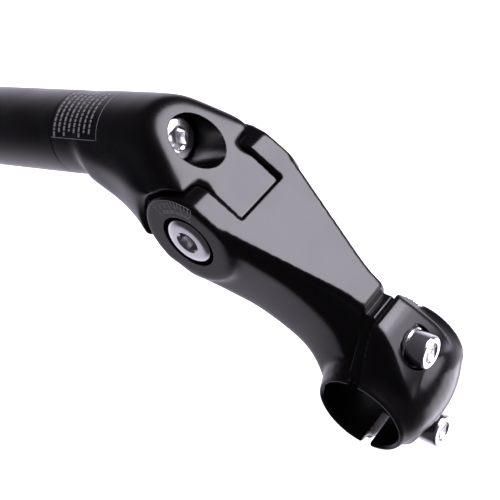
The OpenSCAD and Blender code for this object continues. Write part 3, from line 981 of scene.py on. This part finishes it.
def print_bar(angle, height, length, thick):
    """A bar of ink on the collar, which stands out a little more where the collar widens."""
    out = QUILL_R + 0.1 + 0.09 * step_up(71, 80, height)
    low = (PRINT_INNER_R, -length / 2, height - thick / 2)
    return box_of(low, (out, length / 2, height + thick / 2), tipped(Matrix(), angle, "Z"))


def build_print():
    """Rows of short bars on the back of the collar, framed by a thin line."""
    bars = []
    for row in range(PRINT_ROWS):
        height = PRINT_FIRST_Z + PRINT_PITCH * row
        (angle, last_angle), step = PRINT_ANGLES, row * 1.7
        while angle < last_angle:
            step += 1.0
            length = 0.7 + 0.45 * (1 + math.sin(step * 2.4))
            middle = angle + math.degrees(length / 2 / PRINT_R)
            bars.append(print_bar(middle, height, length, PRINT_THICK))
            angle += math.degrees((length + PRINT_GAP) / PRINT_R)
    for angle in range(160, FRAME_SIDE_ANGLE, 4):
        bars.append(print_bar(angle + 2, FRAME_TOP_Z, 0.92, FRAME_LINE))
    for height in range(63, 84):
        bars.append(print_bar(FRAME_SIDE_ANGLE, height + 0.5, FRAME_LINE, 1.0))
    finish_piece(joined("printed_block", bars), "stem", print_grey, "black_paint")


# ---------------------------------------------------------------- floor, light and camera
OBJECT_MIDDLE = Vector((0.05, 0, 0.12))
TENT_FORWARD = Vector((0.5179, 0.4870, -0.7033))
TENT_BRIGHT_SIDE = Vector((-0.73, 0.68, 0))
TENT_COLOUR = (0.97, 0.92, 1.08, 1)
LIGHT_COLOUR = (0.98, 0.94, 1.06)
LIGHT_DISTANCE = 0.8
# name, direction from the object, width and height in metres, and strength
SOFTBOXES = [
    ("top_softbox", (-0.52, 0.46, 0.72), (0.6, 0.6), 10.0),
    ("top_fill", (0.03, 0.48, 0.87), (0.5, 0.5), 4.0),
    ("back_strip", (0.83, 0.46, 0.31), (0.45, 0.65), 2.9),
]


def build_floor():
    """A wide pale floor under the object."""
    bpy.ops.object.select_all(action="DESELECT")
    bpy.ops.mesh.primitive_plane_add(size=12, location=(0, 0, cad_low.z))
    floor = bpy.context.object
    floor.name = "floor"
    material, _, shader = new_material("pale_floor")
    shader.inputs["Base Color"].default_value = (0.9, 0.9, 0.9, 1)
    shader.inputs["Roughness"].default_value = 0.9
    floor.data.materials.append(material)
    floor.visible_glossy = False


def softbox(name, direction, size, strength):
    """A square area light that faces the object from a direction."""
    light = bpy.data.lights.new(name, "AREA")
    light.shape = "RECTANGLE"
    light.size, light.size_y = size
    light.energy = strength * size[0] * size[1] * math.pi
    light.color = LIGHT_COLOUR
    lamp = bpy.data.objects.new(name, light)
    bpy.context.scene.collection.objects.link(lamp)
    direction = Vector(direction).normalized()
    lamp.location = OBJECT_MIDDLE + direction * LIGHT_DISTANCE
    lamp.rotation_euler = direction.to_track_quat("Z", "Y").to_euler()


def facing(tree, place, direction, **spread):
    """A value that follows how far a ray of the world runs along a direction."""
    dot = add_node(tree, "VectorMath")
    dot.operation = "DOT_PRODUCT"
    dot.inputs[1].default_value = direction
    fade = add_node(tree, "MapRange", **spread)
    tree.links.new(place.outputs["Generated"], dot.inputs[0])
    tree.links.new(dot.outputs["Value"], fade.inputs["Value"])
    return fade


def build_world():
    """Open white all round, where glossy rays alone see a tent at the far side and dark at the near."""
    world = bpy.data.worlds.new("studio")
    bpy.context.scene.world = world
    world.use_nodes = True
    tree = world.node_tree
    tree.nodes.clear()
    out = add_node(tree, "OutputWorld")
    place = add_node(tree, "TexCoord")
    fade = facing(
        tree, place, TENT_FORWARD, From_Min=0.18, From_Max=0.75, To_Min=0.05, To_Max=1.0
    )
    fade.interpolation_type = "SMOOTHSTEP"
    side_fade = facing(
        tree, place, TENT_BRIGHT_SIDE, From_Min=-0.7, From_Max=0.4, To_Min=0.8, To_Max=1.0
    )
    product = add_node(tree, "Math")
    product.operation = "MULTIPLY"
    tent = add_node(tree, "Background", Color=TENT_COLOUR)
    open_white = add_node(tree, "Background", Strength=1.0)
    path = add_node(tree, "LightPath")
    mix = add_node(tree, "MixShader")
    tree.links.new(fade.outputs["Result"], product.inputs[0])
    tree.links.new(side_fade.outputs["Result"], product.inputs[1])
    tree.links.new(product.outputs["Value"], tent.inputs["Strength"])
    tree.links.new(path.outputs["Is Glossy Ray"], mix.inputs["Fac"])
    tree.links.new(open_white.outputs["Background"], mix.inputs[1])
    tree.links.new(tent.outputs["Background"], mix.inputs[2])
    tree.links.new(mix.outputs["Shader"], out.inputs["Surface"])
    # sampled as a light, the open white would also reach the gloss and haze the black paint
    world.cycles.sampling_method = "NONE"


def build_camera():
    """The camera from where it stands, what it looks at and how far it is rolled."""
    stand = Vector((-0.16078, -0.18925, 0.38458))
    look_at = Vector((0.04638, 0.00555, 0.10327))
    roll = Quaternion((0, 0, 1), math.radians(98.89))
    data = bpy.data.cameras.new("camera")
    data.sensor_width = 36
    data.lens = 95.08
    data.clip_start = 0.01
    data.clip_end = 50
    camera = bpy.data.objects.new("camera", data)
    bpy.context.scene.collection.objects.link(camera)
    camera.location = stand
    camera.rotation_mode = "QUATERNION"
    camera.rotation_quaternion = (look_at - stand).to_track_quat("-Z", "Y") @ roll
    bpy.context.scene.camera = camera


# every plain node is hidden by the piece that stands for it, and still has its own finish
for node, piece in frame["nodes"].items():
    piece.data.materials.clear()
    plain_ring = "washer" in node or "ring" in node
    finish = chrome if "bolt" in node else steel if plain_ring else black_paint
    piece.data.materials.append(finish)

build_arm()
build_head()
build_faceplate()
build_screws()
build_rings()
build_quill()
build_scale()
build_print()
build_floor()
build_world()
for box in SOFTBOXES:
    softbox(*box)
build_camera()
bpy.context.scene.view_settings.view_transform = "Standard"
